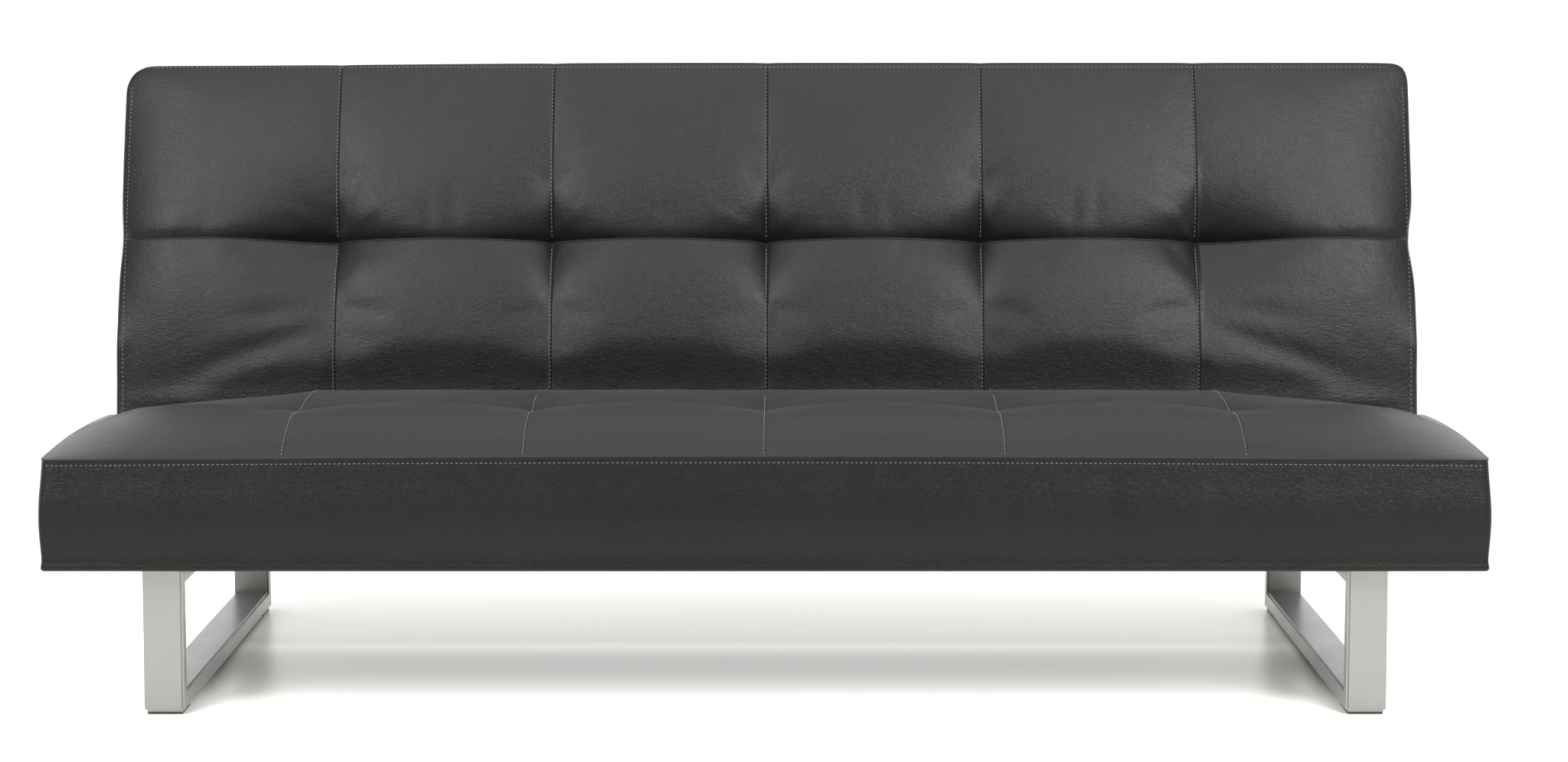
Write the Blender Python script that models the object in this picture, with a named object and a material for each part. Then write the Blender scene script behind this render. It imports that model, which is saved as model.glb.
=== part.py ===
"""Click-clack sofa bed: a tufted seat and back on two sled-leg loops, hinged about one hidden axis.

Metres, +Z up, the sofa faces -Y. Each object is one physical piece.
Depths in the constants are counted from the seat's front face; SHIFT moves them so that the
origin lies under the middle of the outside box, at floor level.
"""
import math

import bmesh
import bpy
from mathutils import Matrix, Vector

# overall
WIDTH = 1.800
SHIFT = -0.420          # front face of the seat lands here in Y
GAP = 0.0004            # running gap that stands in for welded, glued and resting contacts

# tufted panels
COLUMNS = 6
COLUMN_PITCH = 0.297
PANEL_HALF = 0.893      # side seams, measured from the centre
SKIN = 0.0025           # leatherette with its backing
SEAT_BOTTOM = 0.1905
SEAT_DEPTH = 0.489
SEAT_SEAM = 0.328       # height of the seat's edge seams
SEAT_ROW = 0.178        # depth of the seat's cross seam
SEAT_RISE = 0.043       # how far the tufts stand above the edge seams
SEAT_PUFF = 0.013       # how far each cell stands above its tufts
SHOULDER = 0.100        # distance over which the seat rounds up from its edges
BACK_LEAN = math.radians(18.0)
BACK_FOOT = (0.501, 0.270)   # lower front edge of the back, upright
BACK_LENGTH = 0.557
BACK_ROW = 0.302        # height up the back of its cross seam
BACK_THICK = 0.136
BACK_SINK = 0.013       # how far the back's cross seam is drawn in
BACK_PUFF = 0.030
BACK_EASE = 0.200       # the face eases out from its lower edge over this length
CHAMFER_W = 0.080       # underside of the back runs this deep before it slopes away
CHAMFER_T = 0.072

# leg loops of flat tube
LEG_X = 0.752
TUBE_WIDE = 0.050
TUBE_THICK = 0.025
LEG_FRONT = 0.050
LEG_REAR = 0.840
LEG_TOP = 0.187
GLIDE = 0.003

# hinge axis shared by the seat and the back
PIVOT = (0.5425, 0.300)
BOLT_R = 0.005
HOLE_R = 0.0051
RATCHET_R = 0.040
TOOTH_ANGLES = (190.0, 208.0, 226.0, 244.0, 262.0)
NOTCH_X = (0.655, 0.735)
NOTCH_T = 0.066
NOTCH_W = 0.006

# timber
TIMBER = 0.025
FRAME_HALF = 0.888

MATERIALS = {
    "black_leatherette": ((0.020, 0.020, 0.021), 0.0, 0.45),
    "panel_fabric": ((0.016, 0.016, 0.017), 0.0, 0.90),
    "satin_steel": ((0.55, 0.55, 0.53), 1.0, 0.36),
    "black_steel": ((0.035, 0.035, 0.037), 0.6, 0.45),
    "zinc_steel": ((0.62, 0.62, 0.60), 1.0, 0.32),
    "pine": ((0.62, 0.44, 0.25), 0.0, 0.60),
    "birch_ply": ((0.68, 0.52, 0.33), 0.0, 0.55),
    "cream_foam": ((0.78, 0.72, 0.52), 0.0, 0.95),
    "black_nylon": ((0.03, 0.03, 0.03), 0.0, 0.50),
    "black_rubber": ((0.02, 0.02, 0.02), 0.0, 0.80),
}


def clear_scene():
    for obj in list(bpy.data.objects):
        bpy.data.objects.remove(obj, do_unlink=True)


def make_materials():
    made = {}
    for name, (colour, metallic, roughness) in MATERIALS.items():
        mat = bpy.data.materials.new(name)
        mat.use_nodes = True
        shader = mat.node_tree.nodes["Principled BSDF"]
        shader.inputs["Base Color"].default_value = (*colour, 1.0)
        shader.inputs["Metallic"].default_value = metallic
        shader.inputs["Roughness"].default_value = roughness
        made[name] = mat
    return made


def finish_mesh(name, bm, mat):
    """Turn a bmesh into a visible object with outward faces."""
    bmesh.ops.recalc_face_normals(bm, faces=bm.faces)
    mesh = bpy.data.meshes.new(name)
    bm.to_mesh(mesh)
    bm.free()
    obj = bpy.data.objects.new(name, mesh)
    bpy.context.scene.collection.objects.link(obj)
    mesh.materials.append(mat)
    return obj


def block(name, lo, hi, mat, bevel=0.0):
    """Box between two corners given as (x, depth, z)."""
    bm = bmesh.new()
    bmesh.ops.create_cube(bm, size=1.0)
    for v in bm.verts:
        v.co = Vector([lo[i] if v.co[i] < 0 else hi[i] for i in range(3)])
        v.co.y += SHIFT
    if bevel:
        bmesh.ops.bevel(bm, geom=bm.edges[:], offset=bevel, segments=2, affect="EDGES")
    return finish_mesh(name, bm, mat)


def rod_mesh(bm, y, z, x0, x1, radius, sides):
    """Closed rod along X between x0 and x1."""
    rings = []
    for x in (x0, x1):
        ring = []
        for k in range(sides):
            a = 2 * math.pi * k / sides
            ring.append(bm.verts.new((x, y + radius * math.cos(a), z + radius * math.sin(a))))
        rings.append(ring)
    for k in range(sides):
        j = (k + 1) % sides
        bm.faces.new((rings[0][k], rings[0][j], rings[1][j], rings[1][k]))
    bm.faces.new(rings[0])
    bm.faces.new(rings[1])


def rod(name, depth, z, x0, x1, radius, mat, sides=24):
    bm = bmesh.new()
    rod_mesh(bm, depth + SHIFT, z, x0, x1, radius, sides)
    return finish_mesh(name, bm, mat)


def stepped_rod(name, depth, z, steps, mat):
    """Turned piece along X: steps is a list of (x, radius)."""
    sides = 24
    bm = bmesh.new()
    rings = []
    for x, radius in steps:
        ring = []
        for k in range(sides):
            a = 2 * math.pi * k / sides
            y = depth + SHIFT + radius * math.cos(a)
            ring.append(bm.verts.new((x, y, z + radius * math.sin(a))))
        rings.append(ring)
    for a, b in zip(rings, rings[1:]):
        for k in range(sides):
            j = (k + 1) % sides
            bm.faces.new((a[k], a[j], b[j], b[k]))
    bm.faces.new(rings[0])
    bm.faces.new(rings[-1])
    return finish_mesh(name, bm, mat)


def plate(name, outline, x0, x1, mat, bevel=0.0):
    """Flat plate with a (depth, z) outline, extruded along X."""
    bm = bmesh.new()
    ends = [[bm.verts.new((x, y + SHIFT, z)) for y, z in outline] for x in (x0, x1)]
    count = len(outline)
    for k in range(count):
        j = (k + 1) % count
        bm.faces.new((ends[0][k], ends[0][j], ends[1][j], ends[1][k]))
    caps = [bm.faces.new(ends[0]), bm.faces.new(ends[1])]
    if bevel:
        edges = {e for f in caps for e in f.edges}
        bmesh.ops.bevel(bm, geom=list(edges), offset=bevel, segments=1, affect="EDGES")
    return finish_mesh(name, bm, mat)


def cut(target, cutter):
    """Subtract a hidden cutter from the target."""
    cutter.hide_render = True
    cutter.display_type = "WIRE"
    mod = target.modifiers.new("cut_" + cutter.name, "BOOLEAN")
    mod.operation = "DIFFERENCE"
    mod.solver = "EXACT"
    mod.object = cutter


def loft(name, stations, ring_at, mat):
    """Closed body through one ring of (depth, z) points per X station."""
    bm = bmesh.new()
    rings = []
    for x, inset in stations:
        rings.append([bm.verts.new((x, y + SHIFT, z)) for y, z in ring_at(x, inset)])
    count = len(rings[0])
    for a, b in zip(rings, rings[1:]):
        for k in range(count):
            j = (k + 1) % count
            bm.faces.new((a[k], a[j], b[j], b[k]))
    bm.faces.new(rings[0])
    bm.faces.new(rings[-1])
    return finish_mesh(name, bm, mat)


# ---- shape of the tufted panels ----

def panel_stations(shell):
    """X stations across a panel with the inset of the outline at each; shell thins the body."""
    steps = (0.0, 0.07, 0.22, 0.40, 0.60, 0.78, 0.93)
    half = COLUMNS * COLUMN_PITCH / 2
    inner = []
    for col in range(COLUMNS):
        inner += [(-half + (col + f) * COLUMN_PITCH, shell) for f in steps]
    inner = [s for s in inner if abs(s[0]) < PANEL_HALF - shell - 0.012]
    ends = ((PANEL_HALF - shell, 0.0), (WIDTH / 2 - 0.0015 - shell, 0.004), (WIDTH / 2 - shell, 0.009))
    right = [(x, shell + extra) for x, extra in ends]
    left = [(-x, inset) for x, inset in reversed(right)]
    return left + inner + right


def shoulder(distance, reach):
    """0 at an edge seam, 1 once the panel has rounded up."""
    s = min(max(distance / reach, 0.0), 1.0)
    return 1.0 - (1.0 - s) ** 2.3


def puff(fraction):
    """0 on a seam, 1 in the middle of a cell."""
    return 1.0 - abs(2.0 * fraction - 1.0) ** 2.6


def column_puff(x):
    half = COLUMNS * COLUMN_PITCH / 2
    s = (min(max(x, -half), half) + half) / COLUMN_PITCH
    return puff(min(s - math.floor(s), 1.0) if s < COLUMNS else 1.0)


def row_puff(s, seam, end):
    if s <= seam:
        return puff(min(max(s / seam, 0.0), 1.0))
    return puff(min(max((s - seam) / (end - seam), 0.0), 1.0))


def seat_top(x, y):
    across = shoulder(PANEL_HALF - abs(x), SHOULDER)
    along = shoulder(y, SHOULDER) * shoulder(SEAT_DEPTH - y, SHOULDER)
    cell = column_puff(x) * row_puff(y, SEAT_ROW, SEAT_DEPTH)
    return SEAT_SEAM + SEAT_RISE * across * along + SEAT_PUFF * cell


def back_front(x, t):
    """Height of the back's face above its seam plane."""
    across = shoulder(PANEL_HALF - abs(x), SHOULDER)
    drawn = math.exp(-((t - BACK_ROW) / 0.030) ** 2)
    cell = column_puff(x) * row_puff(t, BACK_ROW, BACK_LENGTH) * shoulder(t, BACK_EASE)
    return BACK_PUFF * cell - BACK_SINK * drawn * across


SEAT_STEPS = (0.0, 0.03, 0.10, 0.22, 0.36, 0.52, 0.68, 0.83, 0.95)
ROW_STEPS = (0.0, 0.06, 0.18, 0.34, 0.50, 0.66, 0.82, 0.94)


def row_points(seam, end, inset):
    """Positions along a panel from edge to edge, denser at the seams, always the same number."""
    raw = [seam * f for f in SEAT_STEPS] + [seam + (end - seam) * f for f in ROW_STEPS] + [end]
    return [inset + p / end * (end - 2 * inset) for p in raw]


def seat_ring(bottom):
    def ring(x, inset):
        points = [(y, seat_top(x, y) - inset) for y in row_points(SEAT_ROW, SEAT_DEPTH, inset)]
        return [(inset, bottom)] + points + [(SEAT_DEPTH - inset, bottom)]
    return ring


def back_world(t, w):
    """Point up the back by t and behind its face by w, as (depth, z)."""
    s, c = math.sin(BACK_LEAN), math.cos(BACK_LEAN)
    return (BACK_FOOT[0] + s * t + c * w, BACK_FOOT[1] + c * t - s * w)


def back_ring(rear, sloped):
    """Outline of the back; rear is how deep it goes, sloped cuts its lower rear edge away."""
    def ring(x, inset):
        ts = row_points(BACK_ROW, BACK_LENGTH, inset)
        points = [back_world(t, inset - back_front(x, t)) for t in ts]
        points.append(back_world(BACK_LENGTH - inset, rear))
        if not sloped:
            return points + [back_world(inset, rear)]
        dt, dw = CHAMFER_T, BACK_THICK - CHAMFER_W
        length = math.hypot(dt, dw)
        nt, nw = dw / length, dt / length
        foot_w = CHAMFER_W - nw * inset + (1 - nt) * inset * dw / dt
        high_t = CHAMFER_T + nt * inset + (rear - BACK_THICK + nw * inset) * dt / dw
        return points + [back_world(high_t, rear), back_world(inset, foot_w)]
    return ring


def back_block(name, x, t, w, mat):
    """Box in the back's own directions: x, t and w are (low, high) pairs."""
    outline = [back_world(t[0], w[0]), back_world(t[1], w[0]), back_world(t[1], w[1]),
               back_world(t[0], w[1])]
    return plate(name, outline, x[0], x[1], mat)


# ---- the pieces ----

def build_leg(side, mats):
    """Sled loop welded from flat tube."""
    sign = 1 if side == "right" else -1
    x = sign * LEG_X
    low = GLIDE + GAP
    outer = [(LEG_FRONT, low), (LEG_REAR, low), (LEG_REAR, LEG_TOP), (LEG_FRONT, LEG_TOP)]
    t = TUBE_THICK
    inner = [(LEG_FRONT + t, low + t), (LEG_REAR - t, low + t),
             (LEG_REAR - t, LEG_TOP - t), (LEG_FRONT + t, LEG_TOP - t)]
    bm = bmesh.new()
    rings = []
    for dx in (-TUBE_WIDE / 2, TUBE_WIDE / 2):
        rings.append([[bm.verts.new((x + dx, y + SHIFT, z)) for y, z in loop] for loop in (outer, inner)])
    for k in range(4):
        j = (k + 1) % 4
        for ring in rings:
            bm.faces.new((ring[0][k], ring[0][j], ring[1][j], ring[1][k]))
        for loop in range(2):
            a, b = rings[0][loop], rings[1][loop]
            bm.faces.new((a[k], a[j], b[j], b[k]))
    bmesh.ops.recalc_face_normals(bm, faces=bm.faces)
    edges = [e for e in bm.edges if not flat_edge(e)]
    bmesh.ops.bevel(bm, geom=edges, offset=0.003, segments=2, affect="EDGES")
    finish_mesh("leg_frame_" + side, bm, mats["satin_steel"])


def flat_edge(edge):
    """True for an edge inside a flat side, such as a mitre line."""
    a, b = edge.link_faces
    a.normal_update()
    b.normal_update()
    return a.normal.dot(b.normal) > 0.99


def build_base(mats):
    for side, sign in (("left", -1), ("right", 1)):
        build_leg(side, mats)
        x = sign * LEG_X
        for end, y in (("front", LEG_FRONT + 0.035), ("rear", LEG_REAR - 0.035)):
            block(f"floor_glide_{end}_{side}", (x - 0.022, y - 0.028, 0.0),
                  (x + 0.022, y + 0.028, GLIDE), mats["black_nylon"])
        for end, y in (("front", 0.110), ("rear", 0.430)):
            block(f"seat_rest_pad_{end}_{side}", (x - 0.018, y - 0.022, LEG_TOP + GAP),
                  (x + 0.018, y + 0.022, LEG_TOP + 0.0030), mats["black_rubber"])
        block(f"back_rest_pad_{side}", (x - 0.018, 0.778, LEG_TOP + GAP),
              (x + 0.018, 0.822, LEG_TOP + 0.0065), mats["black_rubber"])
        build_bracket(side, sign, mats)
    inner = LEG_X - TUBE_WIDE / 2 - GAP
    for end, y in (("front", 0.185), ("rear", PIVOT[0])):
        block(f"base_{end}_rail", (-inner, y - 0.0125, LEG_TOP - 0.025), (inner, y + 0.0125, LEG_TOP),
              mats["satin_steel"], 0.002)


def around_pivot(radius, degrees):
    a = math.radians(degrees)
    return (PIVOT[0] + radius * math.cos(a), PIVOT[1] + radius * math.sin(a))


def arc(radius, start, end, count):
    return [around_pivot(radius, start + (end - start) * k / count) for k in range(count + 1)]


def pivot_hole(target, x0, x1, mats):
    drill = rod("drill_" + target.name, PIVOT[0], PIVOT[1], x0, x1, HOLE_R, mats["zinc_steel"])
    cut(target, drill)


def build_bracket(side, sign, mats):
    """Upright plate with a folded foot that stands on the rear rail and carries the pivot bolt."""
    foot = LEG_TOP + GAP
    half = 0.018
    y = PIVOT[0]
    xa, xb = sorted((sign * 0.7000, sign * 0.7050))
    fold = foot + 0.004
    bm = bmesh.new()
    outline = [(y - half, foot), (y + half, foot)] + arc(half, 0, 180, 12)
    ends = [[bm.verts.new((x, p[0] + SHIFT, p[1])) for p in outline] for x in (xa, xb)]
    for k in range(len(outline)):
        j = (k + 1) % len(outline)
        bm.faces.new((ends[0][k], ends[0][j], ends[1][j], ends[1][k]))
    bm.faces.new(ends[0])
    bm.faces.new(ends[1])
    bracket = finish_mesh("hinge_bracket_" + side, bm, mats["black_steel"])
    fx = sorted((sign * 0.6620, sign * 0.7025))
    flange = block("foot_" + side, (fx[0], y - half, foot), (fx[1], y + half, fold), mats["black_steel"])
    join(bracket, flange)
    pivot_hole(bracket, xa - 0.01, xb + 0.01, mats)


def join(target, extra):
    """Unite a hidden helper body with the target."""
    extra.hide_render = True
    extra.display_type = "WIRE"
    mod = target.modifiers.new("join_" + extra.name, "BOOLEAN")
    mod.operation = "UNION"
    mod.solver = "EXACT"
    mod.object = extra


def build_pivot(side, sign, mats):
    """Shouldered bolt and lock nut on the hinge axis."""
    y, z = PIVOT
    steps = [(sign * 0.6770, 0.0046), (sign * 0.6780, BOLT_R), (sign * 0.7054, BOLT_R),
             (sign * 0.7054, 0.0095), (sign * 0.7095, 0.0095), (sign * 0.7110, 0.0075)]
    stepped_rod("pivot_bolt_" + side, y, z, steps, mats["zinc_steel"])
    xa, xb = sorted((sign * 0.6785, sign * 0.6856))
    nut = rod("pivot_nut_" + side, y, z, xa, xb, 0.0092, mats["zinc_steel"], 6)
    pivot_hole(nut, xa - 0.01, xb + 0.01, mats)


def build_seat_arm(side, sign, mats):
    """Cranked plate from the pivot, down and forward, folded flat on the seat's rear face."""
    y, z = PIVOT
    xa, xb = sorted((sign * 0.6860, sign * 0.6910))
    rear = SEAT_DEPTH + GAP
    outline = arc(0.015, -30, 210, 16)
    outline += [(y - 0.011, z - 0.058), (rear, z - 0.058), (rear, z - 0.092), (y - 0.004, z - 0.092),
                (y + 0.011, z - 0.079)]
    arm = plate("seat_hinge_arm_" + side, outline, xa, xb, mats["black_steel"])
    fx = sorted((sign * 0.6600, sign * 0.6890))
    flange = block("flange_" + side, (fx[0], rear, z - 0.092), (fx[1], rear + 0.004, z - 0.058),
                   mats["black_steel"])
    join(arm, flange)
    pivot_hole(arm, xa - 0.01, xb + 0.01, mats)
    pin_y, pin_z = pawl_pin()
    drill = rod("pin_drill_" + side, pin_y, pin_z, xa - 0.01, xb + 0.01, 0.0031, mats["zinc_steel"])
    cut(arm, drill)


def pawl_pin():
    return (PIVOT[0] - 0.010, PIVOT[1] - 0.071)


def ratchet_outline():
    """Toothed sector round the pivot, in the back's own angles turned to the upright pose."""
    turn = 90.0 - math.degrees(BACK_LEAN)
    points = []
    for angle in TOOTH_ANGLES:
        a = angle + turn
        points += [around_pivot(RATCHET_R, a - 9.0), around_pivot(RATCHET_R, a - 3.0),
                   around_pivot(RATCHET_R - 0.005, a - 2.4), around_pivot(RATCHET_R - 0.005, a + 2.4),
                   around_pivot(RATCHET_R, a + 3.0)]
    points.append(around_pivot(RATCHET_R, TOOTH_ANGLES[-1] + turn + 9.0))
    return points


def build_back_arm(side, sign, mats):
    """Dog-leg plate with the ratchet sector, running up inside the back's frame."""
    xa, xb = sorted((sign * 0.6930, sign * 0.6980))
    arm = plate("back_hinge_arm_" + side, ratchet_outline() + arc(0.015, 360, 550, 14)[1:-1], xa, xb,
                mats["black_steel"])
    limb = [(0.046, 0.040), (0.0475, 0.072), (0.050, 0.1020), (0.222, 0.1020), (0.230, 0.0920),
            (0.222, 0.0815), (0.0645, 0.0815), (0.0645, 0.055), (0.058, 0.036)]
    helper = plate("limb_" + side, [back_world(t, w) for t, w in limb], xa, xb, mats["black_steel"])
    join(arm, helper)
    pivot_hole(arm, xa - 0.01, xb + 0.01, mats)


def build_pawl(side, sign, mats):
    """Spring-loaded pawl carried by the seat arm, its nose just clear of the ratchet."""
    xa, xb = sorted((sign * 0.6932, sign * 0.6978))
    py, pz = pawl_pin()
    nose = [around_pivot(RATCHET_R + 0.0006, a) for a in (263.6, 260.4)]
    outline = nose + [(py - 0.004, pz + 0.016), (py - 0.0075, pz + 0.004), (py - 0.026, pz + 0.001),
                      (py - 0.026, pz - 0.004), (py - 0.004, pz - 0.0070), (py + 0.004, pz - 0.0070),
                      (py + 0.0075, pz - 0.002), (py + 0.007, pz + 0.012)]
    pawl = plate("pawl_" + side, outline, xa, xb, mats["zinc_steel"])
    drill = rod("pawl_drill_" + side, py, pz, xa - 0.01, xb + 0.01, 0.0031, mats["zinc_steel"])
    cut(pawl, drill)
    ends = sorted((sign * 0.6775, sign * 0.6990))
    rod("pawl_pin_" + side, py, pz, ends[0], ends[1], 0.0030, mats["zinc_steel"])
    build_coil("pawl_spring_" + side, py, pz, sign, mats)


def build_coil(name, y, z, sign, mats):
    """Small torsion coil on the pawl pin."""
    turns, per_turn, sides = 3, 14, 6
    radius, wire, pitch = 0.0046, 0.0006, 0.0018
    start = sign * 0.6790
    bm = bmesh.new()
    rings = []
    for k in range(turns * per_turn + 1):
        a = 2 * math.pi * k / per_turn
        x = start + sign * pitch * k / per_turn
        ring = []
        for s in range(sides):
            b = 2 * math.pi * s / sides
            r = radius + wire * math.cos(b)
            ring.append(bm.verts.new((x + wire * math.sin(b), y + SHIFT + r * math.cos(a),
                                      z + r * math.sin(a))))
        rings.append(ring)
    for a, b in zip(rings, rings[1:]):
        for s in range(sides):
            j = (s + 1) % sides
            bm.faces.new((a[s], a[j], b[j], b[s]))
    bm.faces.new(rings[0])
    bm.faces.new(rings[-1])
    finish_mesh(name, bm, mats["zinc_steel"])


def build_seat(mats):
    cover = loft("seat_cover", panel_stations(0.0), seat_ring(SEAT_BOTTOM), mats["black_leatherette"])
    hollow = loft("seat_hollow", panel_stations(SKIN), seat_ring(SEAT_BOTTOM - 0.02), mats["cream_foam"])
    cut(cover, hollow)
    slat_top = SEAT_BOTTOM + 0.0620
    loft("seat_foam", panel_stations(SKIN + GAP), seat_ring(slat_top + GAP), mats["cream_foam"])
    low, high = SEAT_BOTTOM + 0.003, SEAT_BOTTOM + 0.053
    half = FRAME_HALF
    front, rear = 0.006, SEAT_DEPTH - 0.006
    block("seat_frame_front_rail", (-half, front, low), (half, front + TIMBER, high), mats["pine"])
    block("seat_frame_rear_rail", (-half, rear - TIMBER, low), (half, rear, high), mats["pine"])
    ya, yb = front + TIMBER + GAP, rear - TIMBER - GAP
    for name, x in (("left_rail", -half), ("centre_rail", -TIMBER / 2), ("right_rail", half - TIMBER)):
        block("seat_frame_" + name, (x, ya, low), (x + TIMBER, yb, high), mats["pine"])
    for k, x in enumerate((-0.710, -0.430, -0.150, 0.150, 0.430, 0.710)):
        block(f"seat_slat_{k + 1}", (x - 0.045, front + 0.004, high + GAP),
              (x + 0.045, rear - 0.004, slat_top), mats["birch_ply"])
    edge = SKIN + 0.0105
    block("seat_dust_cover", (-WIDTH / 2 + edge, edge - 0.008, SEAT_BOTTOM),
          (WIDTH / 2 - edge, SEAT_DEPTH - edge + 0.008, SEAT_BOTTOM + 0.0015), mats["panel_fabric"])


def notch(name, sign, mats):
    """Hidden cutter for the hinge pocket in the back's lower edge."""
    x = sorted((sign * NOTCH_X[0], sign * NOTCH_X[1]))
    return back_block(name, x, (-0.060, NOTCH_T), (NOTCH_W, 0.220), mats["cream_foam"])


def build_back(mats):
    cover = loft("back_cover", panel_stations(0.0), back_ring(BACK_THICK, True), mats["black_leatherette"])
    hollow = loft("back_hollow", panel_stations(SKIN), back_ring(BACK_THICK + 0.02, True),
                  mats["cream_foam"])
    cut(cover, hollow)
    foam = loft("back_foam", panel_stations(SKIN + GAP), back_ring(0.071, False), mats["cream_foam"])
    for side, sign in (("left", -1), ("right", 1)):
        cut(cover, notch("cover_notch_" + side, sign, mats))
        cut(foam, notch("foam_notch_" + side, sign, mats))
    half = FRAME_HALF
    top = BACK_LENGTH - 0.006
    back_block("back_frame_top_rail", (-half, half), (top - TIMBER, top), (0.080, 0.130), mats["pine"])
    back_block("back_frame_lower_rail", (-half, half), (0.077, 0.077 + TIMBER), (0.105, 0.130),
               mats["pine"])
    ta, tb = 0.077 + TIMBER + GAP, top - TIMBER - GAP
    for name, x in (("left_stile", -half), ("centre_stile", -TIMBER / 2), ("right_stile", half - TIMBER),
                    ("left_hinge_stile", -0.7235), ("right_hinge_stile", 0.6985)):
        back_block("back_frame_" + name, (x, x + TIMBER), (ta, tb), (0.080, 0.130), mats["pine"])
    for k, t in enumerate((0.120, 0.225, 0.330, 0.435)):
        back_block(f"back_slat_{k + 1}", (-half + 0.004, half - 0.004), (t, t + 0.070),
                   (0.0715, 0.080 - GAP), mats["birch_ply"])
    edge = SKIN + 0.0105
    back_block("back_rear_panel", (-WIDTH / 2 + edge, WIDTH / 2 - edge), (0.0765, BACK_LENGTH - 0.004),
               (BACK_THICK - 0.0018, BACK_THICK), mats["panel_fabric"])


def hang(empty_name, depth, z, x, owns):
    """Parent pieces, and their cutters, to an empty on the axis they turn about."""
    empty = bpy.data.objects.new(empty_name, None)
    bpy.context.scene.collection.objects.link(empty)
    empty.location = (x, depth + SHIFT, z)
    for obj in list(bpy.data.objects):
        if obj.type == "MESH" and obj.parent is None and owns(obj.name):
            obj.data.transform(Matrix.Translation(-empty.location))
            obj.parent = empty


def hang_moving_pieces():
    """Pawls on their pins, the seat and the back on the hinge axis, and the rest on the floor."""
    pin_y, pin_z = pawl_pin()
    for side, sign in (("left", -1), ("right", 1)):
        pawl = ("pawl_" + side, "pawl_drill_" + side)
        hang("pawl_axis_" + side, pin_y, pin_z, sign * 0.6955, lambda name: name in pawl)
    seat = ("seat_cover", "seat_hollow", "seat_foam", "seat_dust", "seat_frame", "seat_slat", "seat_hinge",
            "flange", "drill_seat", "pin_drill", "pawl_pin", "pawl_spring")
    back = ("back_cover", "back_hollow", "back_foam", "back_rear", "back_frame", "back_slat", "back_hinge",
            "cover_notch", "foam_notch", "limb", "drill_back")
    hang("seat_axis", *PIVOT, 0.0, lambda name: name.startswith(seat))
    hang("back_axis", *PIVOT, 0.0, lambda name: name.startswith(back))
    hang("base_origin", -SHIFT, 0.0, 0.0, lambda name: True)


def build_all():
    clear_scene()
    mats = make_materials()
    build_base(mats)
    build_seat(mats)
    build_back(mats)
    for side, sign in (("left", -1), ("right", 1)):
        build_pivot(side, sign, mats)
        build_seat_arm(side, sign, mats)
        build_back_arm(side, sign, mats)
        build_pawl(side, sign, mats)
    hang_moving_pieces()


build_all()
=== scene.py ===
"""Looks of the click-clack sofa bed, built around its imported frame."""
import math

import bmesh
import bpy
import numpy as np
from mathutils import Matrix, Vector
from mathutils.bvhtree import BVHTree


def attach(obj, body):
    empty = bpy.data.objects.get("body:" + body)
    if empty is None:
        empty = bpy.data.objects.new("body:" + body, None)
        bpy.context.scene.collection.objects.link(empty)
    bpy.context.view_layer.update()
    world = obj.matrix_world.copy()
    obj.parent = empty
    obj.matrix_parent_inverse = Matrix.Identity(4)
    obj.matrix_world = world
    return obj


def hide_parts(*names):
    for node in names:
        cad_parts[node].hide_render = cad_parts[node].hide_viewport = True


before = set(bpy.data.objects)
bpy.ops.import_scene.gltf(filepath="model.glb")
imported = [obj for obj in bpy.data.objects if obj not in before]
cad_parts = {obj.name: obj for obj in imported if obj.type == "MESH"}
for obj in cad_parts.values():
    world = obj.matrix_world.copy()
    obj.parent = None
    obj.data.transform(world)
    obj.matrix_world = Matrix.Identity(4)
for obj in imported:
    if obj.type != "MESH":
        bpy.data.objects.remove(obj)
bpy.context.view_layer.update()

# shared sizes of the two tufted panels, in metres
SHIFT = -0.420                                       # world y of the seat's front seam
COLUMNS, PITCH = 6, 0.297                            # cells across, and their width
HALF = 0.893                                         # side seams, from the middle
SEAT_SEAM, SEAT_HEM = 0.328, 0.1890                  # heights of the seat's edge seam and hem
SEAT_DEPTH, SEAT_ROW = 0.489, 0.178                  # front to rear, and to the cross seam
LEAN = math.radians(18.0)                            # of the back, from upright
FOOT = (0.501, 0.270)                                # low front edge of the back: y from SHIFT, and z
BACK_LENGTH, BACK_ROW, BACK_THICK = 0.557, 0.302, 0.136
CHAMFER_W, CHAMFER_T = 0.080, 0.072                  # where the back's lower edge slopes up to the rear
HINGE_OPENING = (0.655, 0.735)                       # across, on each side
OPENING_TOP, OPENING_FRONT = 0.068, 0.006            # up the back, and depth where it begins
CELL_STEPS = 28                                      # cloth points across one column
SEAM_LINES = (0.0007, 0.0018, 0.0036)                # extra mesh lines beside each seam
CLOTH_FRAMES, CLOTH_PRESSURE = 16, 3.0
SEAT_CAP, BACK_CAP = 0.010, 0.012                    # farthest that the cloth may move a point
SUNKEN = 0.0004                                      # floor under the glides


# ---------------------------------------------------------------- helpers

def link(obj):
    bpy.context.scene.collection.objects.link(obj)
    return obj


def mesh_object(name, verts, faces, smooth=True):
    """Links a new mesh made from points and faces."""
    mesh = bpy.data.meshes.new(name)
    mesh.from_pydata([tuple(v) for v in verts], [], [tuple(f) for f in faces])
    mesh.update()
    if smooth:
        mesh.polygons.foreach_set("use_smooth", [True] * len(mesh.polygons))
    return link(bpy.data.objects.new(name, mesh))


def smoothstep(s):
    s = np.clip(s, 0.0, 1.0)
    return s * s * (3.0 - 2.0 * s)


def gauss(s):
    return np.exp(-s * s)


def grid_quads(nx, ny):
    """Point numbers of an nx by ny grid, and its four-sided faces."""
    index = np.arange(nx * ny).reshape(nx, ny)
    corners = (index[:-1, :-1], index[1:, :-1], index[1:, 1:], index[:-1, 1:])
    return index, np.stack(corners, -1).reshape(-1, 4)


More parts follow.
